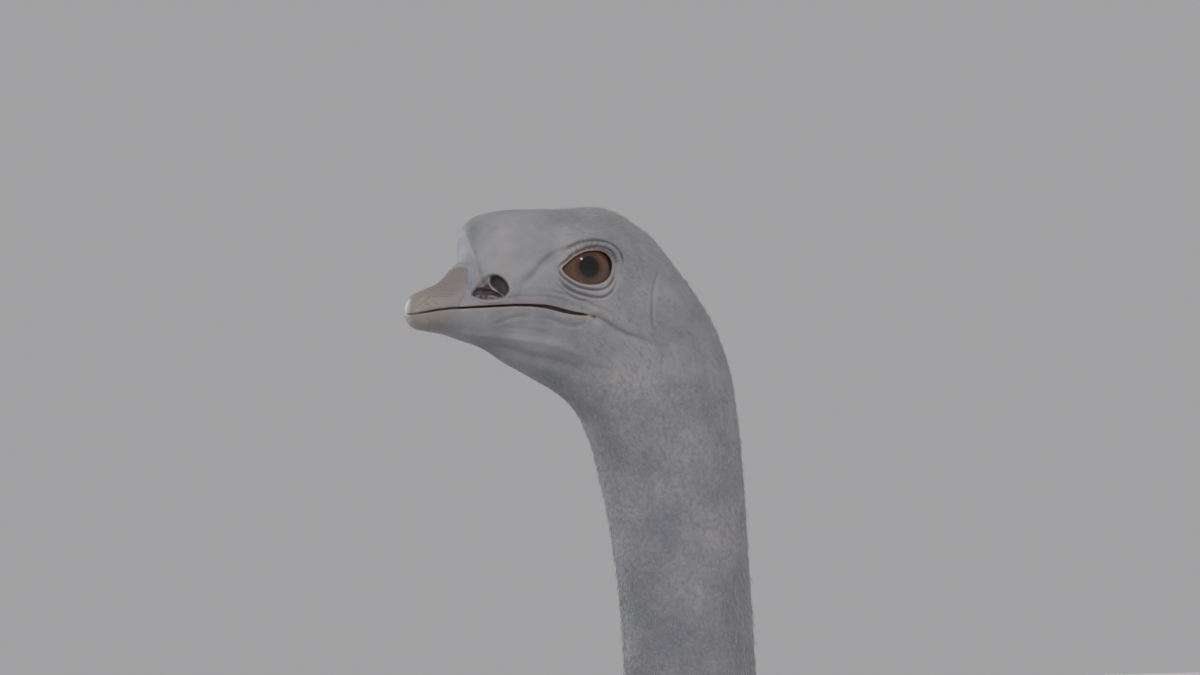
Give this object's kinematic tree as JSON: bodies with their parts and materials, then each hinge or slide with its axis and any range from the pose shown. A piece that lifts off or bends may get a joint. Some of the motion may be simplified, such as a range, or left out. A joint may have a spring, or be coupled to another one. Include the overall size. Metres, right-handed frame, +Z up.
{
  "type": "standing ostrich",
  "caption": "Life-size adult male ostrich standing on both feet with its wings folded and its head held level, as a still display animal.",
  "frame": {"origin": "on the floor between the feet, at the centre of the bird's outline seen from above", "axes": "+Z up, the bird faces -Y, and its left side is +X"},
  "size_m": [0.6554, 1.3993, 2.3493],
  "materials": {
    "skin": "bare blue-grey skin with fine folds and sparse pale down",
    "horn": "smooth dull horn of the bill",
    "eye": "wet, dark brown eye",
    "black_plumage": "loose, soft black feathers",
    "white_plumage": "loose, soft off-white plumes",
    "scale": "horny scales of the shanks and toes",
    "claw": "worn dark horn of the claws"
  },
  "bodies": {
    "root": {"head": "skin", "bill_upper": "horn", "bill_lower": "horn", "eye_left": "eye", "eye_right": "eye", "neck_upper": "skin", "neck_middle": "skin", "neck_lower": "skin", "trunk": "black_plumage", "wing_left": "white_plumage", "wing_right": "white_plumage", "tail": "white_plumage", "thigh_left": "skin", "thigh_right": "skin", "shank_left": "scale", "shank_right": "scale", "toe_big_left": "scale", "toe_big_right": "scale", "toe_small_left": "scale", "toe_small_right": "scale", "claw_left": "claw", "claw_right": "claw"}
  },
  "joints": []
}
